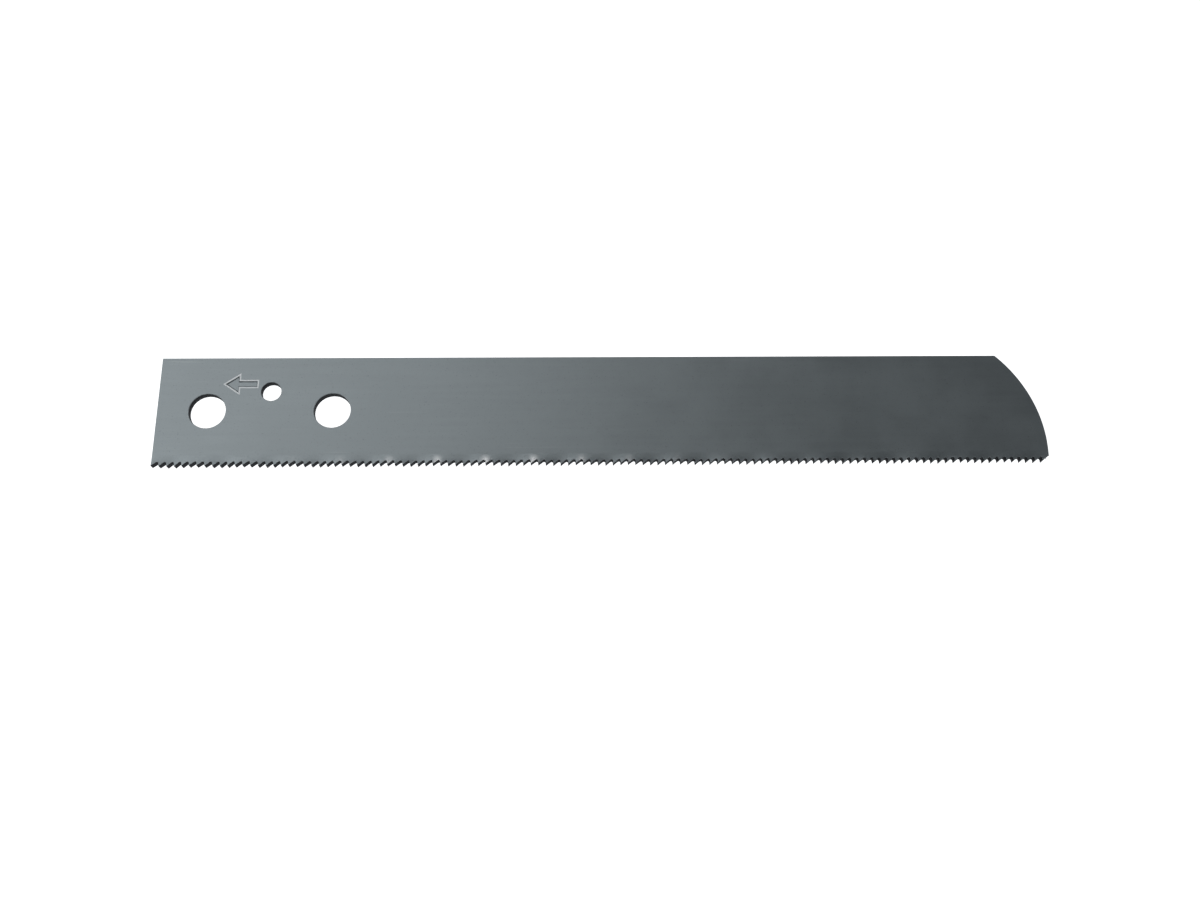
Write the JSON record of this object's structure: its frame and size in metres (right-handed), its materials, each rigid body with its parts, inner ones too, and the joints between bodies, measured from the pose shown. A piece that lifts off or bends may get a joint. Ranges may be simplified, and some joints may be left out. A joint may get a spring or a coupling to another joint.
{
  "type": "power hacksaw blade",
  "caption": "Flat power hacksaw blade with a square bolt-on end, a rounded nose, a plain back edge and a fine wavy-set toothed edge.",
  "frame": {"origin": "on the unmarked face, halfway between the centres of the two bolt holes", "axes": "+X along the blade from the bolted end to the rounded nose, +Y across the blade to the plain back edge, +Z out of the marked face; the teeth point to -Y"},
  "size_m": [0.216, 0.0278, 0.0026],
  "materials": {
    "strip_steel": "satin blue-grey hardened and tempered spring steel",
    "weld_steel": "satin, ground flush, a shade darker than the strip",
    "tooth_steel": "satin high-speed steel with bright freshly cut tooth faces"
  },
  "bodies": {
    "root": {"backing_strip": "strip_steel", "weld_seam": "weld_steel", "tooth_edge": "tooth_steel"}
  },
  "joints": []
}
